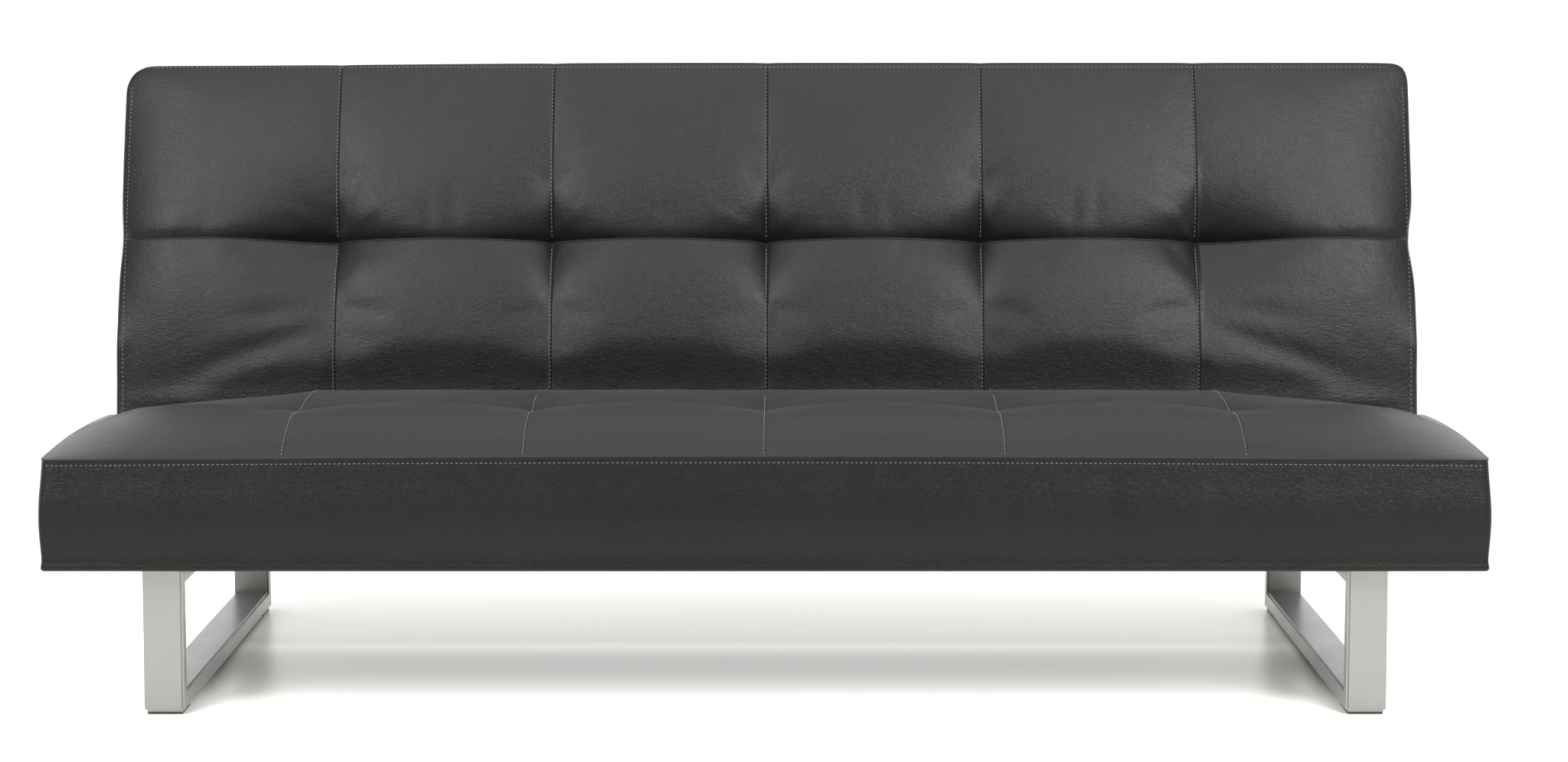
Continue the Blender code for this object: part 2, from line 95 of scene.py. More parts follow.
def noise1(s, seed):
    """Smooth wander along one direction, the same each run."""
    rng = np.random.default_rng(seed)
    out = np.zeros_like(s, dtype=float)
    for k in range(5):
        turns = s * (1.0 + 1.37 * k)
        out += math.pow(0.62, k) * np.sin(turns * 2 * math.pi + rng.uniform(0, 2 * math.pi))
    return out / 2.0


# ---------------------------------------------------------------- panels

CROWN_POWER = 2.6       # how square the crown of a seat cell is


class Panel:
    """One tufted face with its own directions: a across, b up or back, h out of the face."""

    def __init__(self, name, row, end, place):
        self.name, self.row, self.end, self.place = name, row, end, place
        self.seams_a = [(-COLUMNS / 2 + k) * PITCH for k in range(1, COLUMNS)]
        self.knots_a = [-HALF] + self.seams_a + [HALF]
        self.rows = tuple(int(round(CELL_STEPS * span / PITCH)) for span in (row, end - row))

    def coarse(self):
        """Positions of the cloth's points across and along the face."""
        columns = [np.linspace(p, q, CELL_STEPS, endpoint=False)
                   for p, q in zip(self.knots_a, self.knots_a[1:])]
        a = np.concatenate(columns + [[HALF]])
        b = np.concatenate([np.linspace(0, self.row, self.rows[0], endpoint=False),
                            np.linspace(self.row, self.end, self.rows[1] + 1)])
        return a, b

    def fine_index(self):
        """Line positions in coarse steps: every coarse line, and closer ones beside each seam."""
        def lines(knots, lengths):
            out = set()
            for k, (i, j) in enumerate(zip(knots, knots[1:])):
                step = lengths[k] / (j - i)
                out.update(float(n) for n in range(i, j + 1))
                for d in SEAM_LINES:
                    out.add(i + d / step)
                    out.add(j - d / step)
            return np.array(sorted(out))
        ka = [CELL_STEPS * k for k in range(COLUMNS + 1)]
        la = [PITCH] * COLUMNS
        kb = [0, self.rows[0], sum(self.rows)]
        return lines(ka, la), lines(kb, [self.row, self.end - self.row])


def cubic_lookup(field, u, v):
    """Catmull-Rom value of a regular field at index positions u (first axis) and v (second)."""
    def weights(t):
        return np.stack([-0.5 * t + t**2 - 0.5 * t**3, 1 - 2.5 * t**2 + 1.5 * t**3,
                         0.5 * t + 2 * t**2 - 1.5 * t**3, -0.5 * t**2 + 0.5 * t**3])
    iu, iv = np.floor(u).astype(int), np.floor(v).astype(int)
    wu, wv = weights(u - iu), weights(v - iv)
    out = 0.0
    for p in range(4):
        ru = np.clip(iu + p - 1, 0, field.shape[0] - 1)
        for q in range(4):
            rv = np.clip(iv + q - 1, 0, field.shape[1] - 1)
            weight = wu[p][:, None] * wv[q][None, :]
            out = out + field[np.ix_(ru, rv)] * weight[..., None]
    return out


def cell_fractions(panel, a, b):
    """Column index, fraction across it, row index and fraction up it."""
    knots = np.array(panel.knots_a)
    col = np.clip(np.searchsorted(knots, a, side="right") - 1, 0, COLUMNS - 1)
    p = (a - knots[col]) / (knots[col + 1] - knots[col])
    row = (b >= panel.row).astype(int)
    q = np.where(row == 0, b / panel.row, (b - panel.row) / (panel.end - panel.row))
    return col, np.clip(p, 0, 1), row, np.clip(q, 0, 1)


def coons(panel, a, b, seam_v, seam_h, puff):
    """Height over the seam plane: each cell is a Coons patch between its seams, plus a crown.

    seam_v and seam_h give the heights of the upright and the level seams, and puff is the crown
    of each row.
    """
    A, B = np.meshgrid(a, b, indexing="ij")
    col, p, row, q = cell_fractions(panel, A, B)
    knots_b = np.array([0.0, panel.row, panel.end])

    def node(c, r):
        return seam_v(c, knots_b[r])

    flat = ((1 - p) * (1 - q) * node(col, row) + p * (1 - q) * node(col + 1, row)
            + (1 - p) * q * node(col, row + 1) + p * q * node(col + 1, row + 1))
    patch = ((1 - q) * seam_h(row, A) + q * seam_h(row + 1, A)
             + (1 - p) * seam_v(col, B) + p * seam_v(col + 1, B) - flat)
    crown = (1 - np.abs(2 * p - 1) ** CROWN_POWER) * (1 - np.abs(2 * q - 1) ** CROWN_POWER)
    return patch + np.array(puff)[row] * crown


def between_tufts(a):
    """Fraction across the cell that holds a."""
    knots = (a + HALF) / PITCH
    return np.clip(knots - np.floor(knots), 0, 1)


def from_side(a):
    """Distance from the nearer side seam, in columns, up to one."""
    return np.clip((HALF - np.abs(a)) / PITCH, 0, 1)


def quarter_wave(s):
    """Rises from 0 at s = 0 and levels out at 1 from s = 1."""
    return np.sin(0.5 * math.pi * np.clip(s, 0, 1))


def half_wave(s):
    """An arch from s = 0 to s = 1."""
    return np.sin(math.pi * np.clip(s, 0, 1))


# ---- the back's face

BACK_TUFT, BACK_ARCH = -0.017, 0.0130     # height of the level seam at the tufts and between them
BACK_SIDE_ARCH = BACK_ARCH + 0.0035       # and in the two outer columns
# height of the padding by distance up the back: thin behind the seat, fullest at the level seam
BACK_PROFILE = ((0.0, -0.024), (0.06, -0.023), (0.10, -0.0155), (0.14, -0.004), (0.18, 0.0070),
                (0.22, 0.0145), (0.26, 0.0182), (0.30, 0.0195), (0.34, 0.0195), (0.40, 0.0175),
                (0.46, 0.0152), (0.52, 0.0122), (0.545, 0.0095), (0.557, 0.0045))
PROFILE_ROUNDING = 0.008
BACK_END_RISE = 0.090                     # from a side seam to the full height
SEAM_VALLEY, SEAM_VALLEY_WIDTH = 0.0028, 0.011


def smooth_curve(points, width, x):
    """Value at x of a line through the points, rounded over width and run on straight past its ends."""
    px, py = zip(*points)
    margin = 3 * width
    grid = np.linspace(px[0] - margin, px[-1] + margin, 900)
    step = grid[1] - grid[0]
    low = py[0] + (py[1] - py[0]) / (px[1] - px[0]) * (np.minimum(grid, px[0]) - px[0])
    high = (py[-1] - py[-2]) / (px[-1] - px[-2]) * (np.maximum(grid, px[-1]) - px[-1])
    raw = np.interp(grid, px, py) + (low - py[0]) + high
    reach = int(margin / step)
    kernel = gauss(np.arange(-reach, reach + 1) * step / width)
    soft = np.convolve(raw, kernel / kernel.sum(), mode="same")
    return np.interp(x, grid, soft)


def back_ends(a):
    """How far the padding has risen from the side seams, from 0 to 1."""
    return quarter_wave((HALF - np.abs(a)) / BACK_END_RISE) ** 0.8


def back_level(a):
    """Height of the back's level seam: deep at the tufts, arched between them."""
    arch = BACK_TUFT + (BACK_ARCH - BACK_TUFT) * np.sin(math.pi * between_tufts(a)) ** 0.62
    near = smoothstep((from_side(a) - 0.42) / 0.58)
    side = BACK_SIDE_ARCH * back_ends(a) * (1 - near) + BACK_TUFT * near
    return np.where(np.abs(a) > HALF - PITCH, side, arch)


def back_heights(a, b):
    """Height of the back's face over its seam plane."""
    A, B = np.meshgrid(a, b, indexing="ij")
    ends = back_ends(A)
    plateau = smooth_curve(BACK_PROFILE, PROFILE_ROUNDING, B)
    plateau = np.maximum(plateau, 0) * ends + np.minimum(plateau, 0)
    row = smooth_curve(BACK_PROFILE, PROFILE_ROUNDING, np.array(BACK_ROW)) * ends
    drawn = row - back_level(A)                      # how far the level seam pulls the padding in
    reach = 0.010 + (0.030 + 0.010 * (B < BACK_ROW)) * np.clip(drawn / 0.033, 0, 1.2)
    H = plateau - drawn * np.exp(-(np.abs(B - BACK_ROW) / reach) ** 1.35)
    for line in BACK.seams_a:
        H = H - SEAM_VALLEY * np.exp(-np.abs(A - line) / SEAM_VALLEY_WIDTH) * smoothstep(B / 0.03)
    return H


# ---- the seat's face

SEAT_TUFT, SEAT_ARCH = 0.039, 0.054       # height of the cross seam near the tufts and between them
SEAT_FRONT_RISE, SEAT_REAR_RISE = 0.125, 0.150
SEAT_PUFF = (-0.0035, -0.0065)            # the front and the rear row lie a little under their patch


def seat_seam_v(line, b):
    """Heights of the upright seams, numbered from the left side seam."""
    inner = (line > 0) & (line < COLUMNS)
    front = quarter_wave(b / SEAT_FRONT_RISE) ** 0.85
    rear = quarter_wave((SEAT_DEPTH - b) / SEAT_REAR_RISE) ** 0.85
    swell = 0.005 * half_wave((b - SEAT_ROW) / (SEAT_DEPTH - SEAT_ROW))
    dip = 0.0035 * (1 - smoothstep(np.abs(b - SEAT_ROW) / 0.050))
    level = (SEAT_TUFT + 0.0035) * front * rear - dip + swell
    side = 0.007 * half_wave(b / SEAT_DEPTH) ** 0.8
    return np.where(inner, level, side)


def seat_seam_h(line, a):
    """Heights of the front seam (0), the cross seam (1) and the rear seam (2)."""
    tuft = seat_seam_v(1, np.array(SEAT_ROW))
    arch = tuft + (SEAT_ARCH - tuft) * np.sin(math.pi * between_tufts(a)) ** 0.8
    outer = from_side(a)
    edge = seat_seam_v(0, np.array(SEAT_ROW))
    rise = quarter_wave(outer / 0.36) ** 0.85
    side = edge + (tuft + 0.010 * half_wave((outer - 0.15) / 0.85) - edge) * rise
    cross = np.where(np.abs(a) > HALF - PITCH, side, arch)
    bow = 0.004 * np.cos(0.5 * math.pi * a / HALF)
    return np.where(line == 1, cross, np.where(line == 0, bow, 0.0))


def seat_heights(a, b):
    """Height of the seat's face over its seam plane."""
    return coons(SEAT, a, b, seat_seam_v, seat_seam_h, SEAT_PUFF)


def seat_place(a, b, h):
    """World points of the seat's panel: b runs back and h up."""
    return np.stack([a, b + SHIFT, SEAT_SEAM + h], -1)


def back_place(a, b, h):
    """World points of the back's panel: b runs up it and h out of its front."""
    s, c = math.sin(LEAN), math.cos(LEAN)
    return np.stack([a, FOOT[0] + SHIFT + s * b - c * h, FOOT[1] + c * b + s * h], -1)


SEAT = Panel("seat", SEAT_ROW, SEAT_DEPTH, seat_place)
BACK = Panel("back", BACK_ROW, BACK_LENGTH, back_place)


def outline(panel, A, B, radius):
    """Moves a square face grid onto its outline with rounded corners.

    radius holds that of the two low corners, the high left one and the high right one.
    """
    for side in (-1, 1):
        for low in (True, False):
            r = radius[0] if low else radius[1 if side < 0 else 2]
            ca = (side * A - (HALF - r)) / r
            cb = (r - B) / r if low else (B - (panel.end - r)) / r
            inside = (ca > 0) & (cb > 0)
            na = ca * np.sqrt(np.maximum(1 - cb * cb / 2, 0))
            nb = cb * np.sqrt(np.maximum(1 - ca * ca / 2, 0))
            A = np.where(inside, side * (HALF - r + na * r), A)
            B = np.where(inside, (r - nb * r) if low else (panel.end - r + nb * r), B)
    return A, B


# ---------------------------------------------------------------- cloth

CLOTH = {
    "quality": 7, "mass": 0.25, "air_damping": 3.0,
    "tension_stiffness": 30.0, "compression_stiffness": 30.0, "shear_stiffness": 12.0,
    "tension_damping": 12.0, "compression_damping": 12.0, "shear_damping": 12.0,
    "bending_stiffness": 0.9, "pin_stiffness": 1.0, "vertex_group_mass": "sewn",
    "vertex_group_shrink": "slack", "shrink_min": 0.0, "shrink_max": -0.030,
    "use_pressure": True, "uniform_pressure_force": CLOTH_PRESSURE,
}


def cloth_face(panel, A, B, H, pins, slack, cap):
    """Inflates the face between its sewn lines with Blender's cloth, and returns how far it moved."""
    base = panel.place(A, B, H)
    nx, ny = A.shape
    obj = mesh_object("cloth_" + panel.name, base.reshape(-1, 3), grid_quads(nx, ny)[1])
    for group, weights in (("sewn", pins), ("slack", slack)):
        vg = obj.vertex_groups.new(name=group)
        levels = np.round(weights.reshape(-1), 3)
        for level in np.unique(levels):
            if level > 0:
                vg.add([int(i) for i in np.nonzero(levels == level)[0]], float(level), "REPLACE")
    mod = obj.modifiers.new("cloth", "CLOTH")
    for key, value in CLOTH.items():
        setattr(mod.settings, key, value)
    mod.settings.effector_weights.gravity = 0.0
    mod.collision_settings.use_collision = False
    mod.collision_settings.use_self_collision = False
    mod.point_cache.frame_start, mod.point_cache.frame_end = 1, CLOTH_FRAMES
    scene = bpy.context.scene
    for f in range(1, CLOTH_FRAMES + 1):
        scene.frame_set(f)
    depsgraph = bpy.context.evaluated_depsgraph_get()
    moved = np.empty(nx * ny * 3, np.float32)
    obj.evaluated_get(depsgraph).data.vertices.foreach_get("co", moved)
    scene.frame_set(1)
    bpy.data.objects.remove(obj, do_unlink=True)
    step = moved.reshape(nx, ny, 3).astype(float) - base
    length = np.linalg.norm(step, axis=-1, keepdims=True)
    return step * np.minimum(1.0, cap / np.maximum(length, 1e-9))


def sewn_weights(panel, a, b):
    """How firmly each point is held, and how much spare cloth it has.

    The edges and the cross seam are held fast, and the upright seams near their tufts.
    """
    A, B = np.meshgrid(a, b, indexing="ij")
    on = 1e-6
    edge = (np.abs(A) > HALF - on) | (B < on) | (B > panel.end - on)
    cross = np.abs(B - panel.row) < on
    upright = np.min([np.abs(A - s) for s in panel.seams_a], axis=0)
    tuft = (upright < on) & (np.abs(B - panel.row) < 0.02)
    pins = np.maximum(np.where(edge | cross, 1.0, 0.0), np.where(tuft, 0.9, 0.0))
    slack = np.where(edge | cross, 0.0, 1.0) * smoothstep(upright / 0.025)
    return pins, slack


# ---------------------------------------------------------------- cover meshes

# height of an upright seam by distance: a narrow valley between two low lips
SEAM_SHAPE = ((0.0, -0.0015), (0.0007, -0.0006), (0.0018, 0.0003), (0.0036, 0.0001), (0.009, 0.0))
# the cross seam, whose far side tucks in behind the rolled lip of the near side
CROSS_SHAPE = ((-0.012, 0.0), (-0.0036, 0.0006), (-0.0018, 0.0007), (-0.0007, -0.0010), (0.0, -0.0032),
               (0.0007, -0.0040), (0.0018, -0.0038), (0.0036, -0.0028), (0.009, -0.0006), (0.014, 0.0))
GATHER, CROSS_GATHER = 0.00055, 0.0009    # heights of the small gathers beside the seams
TUFT_GAP = 0.004                          # from the cross seam to where a fold begins
CALM_EDGE = 0.012                         # seams, folds and gathers fade out over this from the edge
EDGE_ROLL = 0.0045                        # how far in the cover rolls over to its edge seam
EDGE_LIMIT = 0.004                        # how far the boxing follows the face's edge up
FRAME_CORNER = 0.005                      # corner radius where the cover is turned over the frame
SIDE_REACH = 0.10                         # how far in the waist and the top edge's bow are felt
INSET_REACH = 0.02
HEM, LOW_ROLL = 0.020, 0.004              # cover turned under, and its rounded lower edge
BOXING_STEPS = (0.09, 0.15, 0.23, 0.33, 0.44, 0.55, 0.66, 0.76, 0.85, 0.92)


def creases(A, B, marks):
    """Pulled folds, each a ridge with a valley beside it.

    A mark is (a, b, angle in degrees, length, width, height).
    """
    out = np.zeros_like(A)
    for a0, b0, angle, length, width, height in marks:
        c, s = math.cos(math.radians(angle)), math.sin(math.radians(angle))
        along = (A - a0) * c + (B - b0) * s
        across = -(A - a0) * s + (B - b0) * c
        across = across - 0.10 * along * along / length
        start = smoothstep(along / (0.18 * length))
        finish = 1 - smoothstep((along - 0.45 * length) / (0.55 * length))
        wide = width * (0.7 + 0.9 * np.clip(along / length, 0, 1))
        ridge = gauss(across / wide) - 0.7 * gauss((across + 1.5 * wide) / wide)
        out += height * (start * finish) * ridge
    return out


def puckers(A, B, panel, seed):
    """Small gathers that run away from the upright seams."""
    out = np.zeros_like(A)
    for k, line in enumerate(panel.seams_a):
        for side in (-1, 1):
            d = side * (A - line)
            wave = noise1(B / 0.075 + k * 3.1 + side, seed + k)
            out += np.where(d > 0, GATHER * wave * gauss((d - 0.006) / 0.010), 0.0)
    wave = noise1(A / 0.090, seed + 40)
    out += CROSS_GATHER * wave * gauss((np.abs(B - panel.row) - 0.010) / 0.013)
    return out


def face_grid(panel, heights, cap):
    """The face at full detail: its lines across and along, its heights, and the cloth's movement."""
    a, b = panel.coarse()
    A, B = np.meshgrid(a, b, indexing="ij")
    H = heights(a, b)
    move = np.zeros(A.shape + (3,))
    pins, slack = sewn_weights(panel, a, b)
    move = cloth_face(panel, A, B, H, pins, slack, cap)
    u, v = panel.fine_index()
    fa, fb = np.interp(u, np.arange(len(a)), a), np.interp(v, np.arange(len(b)), b)
    return fa, fb, heights(fa, fb), cubic_lookup(move, u, v)


def loop_index(nx, ny):
    """Grid indices round the face's edge: low edge, right, high edge, left."""
    low = [(i, 0) for i in range(nx)]
    right = [(nx - 1, j) for j in range(1, ny)]
    high = [(i, ny - 1) for i in range(nx - 2, -1, -1)]
    left = [(0, j) for j in range(ny - 2, 0, -1)]
    return low + right + high + left


def loop_normals(points):
    """Outward directions in the face's plane round a closed loop of (a, b) points."""
    t = np.roll(points, -1, 0) - np.roll(points, 1, 0)
    n = np.stack([t[:, 1], -t[:, 0]], -1)
    return n / np.linalg.norm(n, axis=1, keepdims=True)


def face_detail(panel, A, B, edge, style):
    """Height of the seams, folds, gathers and rolled edge over the plain face."""
    detail = np.zeros_like(A)
    for line in panel.seams_a:
        detail += np.interp(np.abs(A - line), *zip(*SEAM_SHAPE))
    detail += style["cross"] * np.interp(B - panel.row, *zip(*CROSS_SHAPE))
    inside = smoothstep(edge / CALM_EDGE)
    folds = creases(A, B, style["creases"]) * inside
    detail = detail * inside + folds + puckers(A, B, panel, style["seed"]) * inside
    over = np.clip(edge / EDGE_ROLL, 0, 1)
    roll = style["roll"] * (np.sqrt(np.clip(1 - (1 - over) ** 2, 0, 1)) - 1.0)
    roll -= 0.0003 * gauss((edge - 0.0036) / 0.0014)
    return detail, roll


def drawn_outline(panel, A, B, style):
    """Rounded corners, and sides that the sewing draws in a little."""
    RA, RB = outline(panel, A, B, style["radius"])
    beside = smoothstep((np.abs(RA) - HALF + SIDE_REACH) / SIDE_REACH)
    waist = style["waist"](np.sign(RA)) * gauss((RB - panel.row) / 0.038) * beside
    RA = RA - np.sign(RA) * waist
    RB = RB + style["edge_bow"](RA) * smoothstep((RB - panel.end + SIDE_REACH) / SIDE_REACH)
    front = style["inset"] * (1 - np.clip(RB / INSET_REACH, 0, 1))
    rear = style["inset"] * np.clip((RB - panel.end + INSET_REACH) / INSET_REACH, 0, 1)
    return RA, RB + front - rear


def sewn_cover(panel, fa, fb, H, move, style):
    """Face, boxing and turned hem as one surface."""
    A, B = np.meshgrid(fa, fb, indexing="ij")
    edge = np.minimum(HALF - np.abs(A), np.minimum(B, panel.end - B))
    detail, roll = face_detail(panel, A, B, edge, style)
    H = H + detail + roll
    RA, RB = drawn_outline(panel, A, B, style)
    verts = list((panel.place(RA, RB, H) + move).reshape(-1, 3))
    index, quads = grid_quads(*A.shape)
    faces = [tuple(q) for q in quads]
    loop = loop_index(*A.shape)
    ring = [int(index[i, j]) for i, j in loop]
    points = np.array([(RA[i, j], RB[i, j]) for i, j in loop])
    square = outline(panel, A, B, (FRAME_CORNER,) * 3)
    frame_edge = np.array([(square[0][i, j], square[1][i, j]) for i, j in loop])
    edge_h = np.array([H[i, j] + style["roll"] for i, j in loop])
    normals = loop_normals(points)
    around = np.concatenate([[0], np.cumsum(np.linalg.norm(np.diff(points, axis=0), axis=1))])
    wander = noise1(around / 0.16, style["seed"] + 70)
    flat = 1 - 0.6 * np.clip(style["facing_gap"] * normals[:, 1], 0, 1)
    n = len(ring)
    for depth, out in style["rows"]:
        share = depth / style["thick"]
        wave = style["wave"] * wander * math.sin(math.pi * min(share, 1.0))
        held = smoothstep(np.array(share * 1.15))     # from the cushion's outline to the frame's
        p = points * (1 - held) + frame_edge * held + normals * (out * flat + wave)[:, None]
        h = np.minimum(edge_h, EDGE_LIMIT) * max(0.0, 1 - share * 1.6) - depth
        pa, pb = p[:, 0], p[:, 1]
        if style["chamfer"] and depth > CHAMFER_W:
            up = (depth - CHAMFER_W) * CHAMFER_T / (BACK_THICK - CHAMFER_W)
            pb = pb + up * np.clip(1 - np.maximum(pb, 0) / 0.20, 0, 1)
        start = len(verts)
        verts.extend(list(panel.place(pa, pb, h)))
        fresh = list(range(start, start + n))
        for i in range(n):
            j = (i + 1) % n
            faces.append((ring[j], ring[i], fresh[i], fresh[j]))
        ring = fresh
    return np.array(verts), faces


def boxing_rows(thick, bulge, top, power):
    """(depth, outward) pairs from the edge seam, over the bulge, to the hem turned under."""
    rows = list(top)
    low = top[-1][1]
    for f in BOXING_STEPS:
        rows.append((thick * f, low + (bulge - low) * math.sin(math.pi * f) ** power))
    rows += [(thick - LOW_ROLL, 0.0020), (thick - 0.0012, 0.0005), (thick, -0.0018)]
    under = thick + 0.0003
    rows += [(under, -HEM * 0.5), (under, -HEM), (thick - 0.0012, -HEM - 0.001)]
    return rows


def cut_notches(verts, faces):
    """Leaves out the cover where the hinge sets stand."""
    s, c = math.sin(LEAN), math.cos(LEAN)
    y, z = verts[:, 1] - SHIFT - FOOT[0], verts[:, 2] - FOOT[1]
    t, w = s * y + c * z, c * y - s * z
    x = np.abs(verts[:, 0])
    gone = (x > HINGE_OPENING[0]) & (x < HINGE_OPENING[1]) & (t < OPENING_TOP) & (w > OPENING_FRONT)
    return [f for f in faces if not all(gone[i] for i in f)]


def make_cover(panel, heights, style, cap):
    """One cushion's sewn cover, with one level of smoothing."""
    fa, fb, H, move = face_grid(panel, heights, cap)
    verts, faces = sewn_cover(panel, fa, fb, H, move, style)
    if style["chamfer"]:
        faces = cut_notches(verts, faces)
    obj = mesh_object(panel.name + "_cushion", verts, faces)
    sub = obj.modifiers.new("smooth", "SUBSURF")
    sub.levels = sub.render_levels = 1
    return obj


def surface_tree(obj):
    """The smoothed surface, to lay stitches on."""
    depsgraph = bpy.context.evaluated_depsgraph_get()
    depsgraph.update()
    return BVHTree.FromObject(obj, depsgraph)


def tuft_creases(panel, seed, strength):
    """A few uneven folds that run out of each tuft, longer beyond the cross seam than before it."""
    rng = np.random.default_rng(seed)
    marks = []
    for a0 in panel.seams_a:
        for angle in (34, 62, 118, 146):
            if rng.uniform() < 0.30:
                continue
            angle += rng.uniform(-8, 8)
            marks.append((a0, panel.row + TUFT_GAP, angle, rng.uniform(0.05, 0.11),
                          rng.uniform(0.0035, 0.0060), strength * rng.uniform(0.5, 1.2)))
        for angle in (-42, -138):
            if rng.uniform() < 0.45:
                continue
            marks.append((a0, panel.row - TUFT_GAP, angle, rng.uniform(0.04, 0.08),
                          rng.uniform(0.003, 0.005), strength * rng.uniform(0.3, 0.7)))
    return marks


# ---------------------------------------------------------------- stitches

THREAD_SIDES = 5
DROP, DROP_REACH = 0.05, 0.12             # a stitch is looked for from this far out, and this far in


def stitch_line(tree, path, outward, length, gap, radius, lift):
    """Short thread pieces laid on a surface along a path of points.

    Each point is dropped on to the surface against the direction outward. A stitch is a
    five-sided spindle: a point at each end and a ring near each.
    """
    path = np.asarray(path, float)
    outward = np.asarray(outward, float)
    dist = np.concatenate([[0], np.cumsum(np.linalg.norm(np.diff(path, axis=0), axis=1))])
    verts, faces = [], []

    def at(d):
        p = np.array([np.interp(d, dist, path[:, k]) for k in range(3)])
        return tree.ray_cast(Vector(p + outward * DROP), Vector(-outward), DROP_REACH)[:2]

    begin = 0.0
    while begin + length < dist[-1]:
        p0, n0 = at(begin)
        p1, n1 = at(begin + length)
        begin += length + gap
        if p0 is None or p1 is None:
            continue
        axis = p1 - p0
        if not 1e-5 <= axis.length <= 2.5 * length:
            continue
        axis.normalize()
        n = ((n0 + n1) / 2).normalized()
        side = axis.cross(n).normalized()
        first = len(verts)
        verts.append(p0 - n * radius * 0.4)
        for f in (0.2, 0.8):
            q = p0.lerp(p1, f) + n * lift
            for k in range(THREAD_SIDES):
                t = 2 * math.pi * k / THREAD_SIDES
                verts.append(q + (side * math.cos(t) + n * math.sin(t)) * radius)
        verts.append(p1 - n * radius * 0.4)
        near, far = first + 1, first + 1 + THREAD_SIDES
        last = far + THREAD_SIDES
        for k in range(THREAD_SIDES):
            j = (k + 1) % THREAD_SIDES
            faces.append((first, near + j, near + k))
            faces.append((near + k, near + j, far + j, far + k))
            faces.append((last, far + k, far + j))
    return verts, faces


def stitches(name, body, tree, lines, mat):
    """All the threads of one panel as one piece."""
    verts, faces = [], []
    for line in lines:
        v, f = stitch_line(tree, *line)
        base = len(verts)
        verts += [tuple(p) for p in v]
        faces += [tuple(i + base for i in q) for q in f]
    obj = mesh_object(name, verts, faces)
    obj.data.materials.append(mat)
    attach(obj, body)


# ---------------------------------------------------------------- materials

BASE_COLOUR = "Base Color"


def new_material(name):
    mat = bpy.data.materials.new(name)
    mat.use_nodes = True
    tree = mat.node_tree
    return mat, tree, tree.nodes["Principled BSDF"]


def add(tree, kind, **values):
    """A node whose inputs, or else whose properties, are set by name."""
    node = tree.nodes.new(kind)
    for key, value in values.items():
        if key in node.inputs:
            node.inputs[key].default_value = value
        else:
            setattr(node, key, value)
    return node


def coords(tree, scale=(1, 1, 1)):
    """Object coordinates, in metres before the scale."""
    tex = add(tree, "ShaderNodeTexCoord")
    mapping = add(tree, "ShaderNodeMapping")
    mapping.inputs["Scale"].default_value = scale
    tree.links.new(tex.outputs["Object"], mapping.inputs["Vector"])
    return mapping.outputs["Vector"]


def textured(tree, kind, place, **values):
    """A texture node at the given coordinates."""
    node = add(tree, kind, **values)
    tree.links.new(place, node.inputs["Vector"])
    return node


def noise(tree, place, scale, detail, **values):
    return textured(tree, "ShaderNodeTexNoise", place, Scale=scale, Detail=detail, **values)


def ramp(tree, value, stops):
    node = add(tree, "ShaderNodeValToRGB")
    node.color_ramp.elements[0].position, node.color_ramp.elements[0].color = stops[0]
    node.color_ramp.elements[1].position, node.color_ramp.elements[1].color = stops[-1]
    for position, colour in stops[1:-1]:
        node.color_ramp.elements.new(position).color = colour
    tree.links.new(value, node.inputs["Fac"])
    return node.outputs["Color"]


def grey(v):
    return (v, v, v, 1.0)


def spread(tree, value, low, high):
    node = add(tree, "ShaderNodeMapRange")
    node.inputs["To Min"].default_value = low
    node.inputs["To Max"].default_value = high
    tree.links.new(value, node.inputs["Value"])
    return node.outputs["Result"]


def smooth_range(tree, value, start, end):
    """0 at start, 1 at end, with a soft turn at both."""
    node = add(tree, "ShaderNodeMapRange", interpolation_type="SMOOTHSTEP")
    node.inputs["From Min"].default_value = start
    node.inputs["From Max"].default_value = end
    tree.links.new(value, node.inputs["Value"])
    return node.outputs["Result"]


def mix_colour(tree, first, second, factor, blend="MIX"):
    """Mixes two colours; any of the inputs may be a socket or a plain value."""
    node = add(tree, "ShaderNodeMix", data_type="RGBA", blend_type=blend)
    colours = [socket for socket in node.inputs if socket.type == "RGBA"]
    for socket, value in zip([node.inputs["Factor"]] + colours, (factor, first, second)):
        if isinstance(value, bpy.types.NodeSocket):
            tree.links.new(value, socket)
        else:
            socket.default_value = value
    return next(socket for socket in node.outputs if socket.type == "RGBA")


def bump(tree, height, strength, distance, normal=None):
    node = add(tree, "ShaderNodeBump", Strength=strength, Distance=distance)
    tree.links.new(height, node.inputs["Height"])
    if normal is not None:
        tree.links.new(normal, node.inputs["Normal"])
    return node.outputs["Normal"]


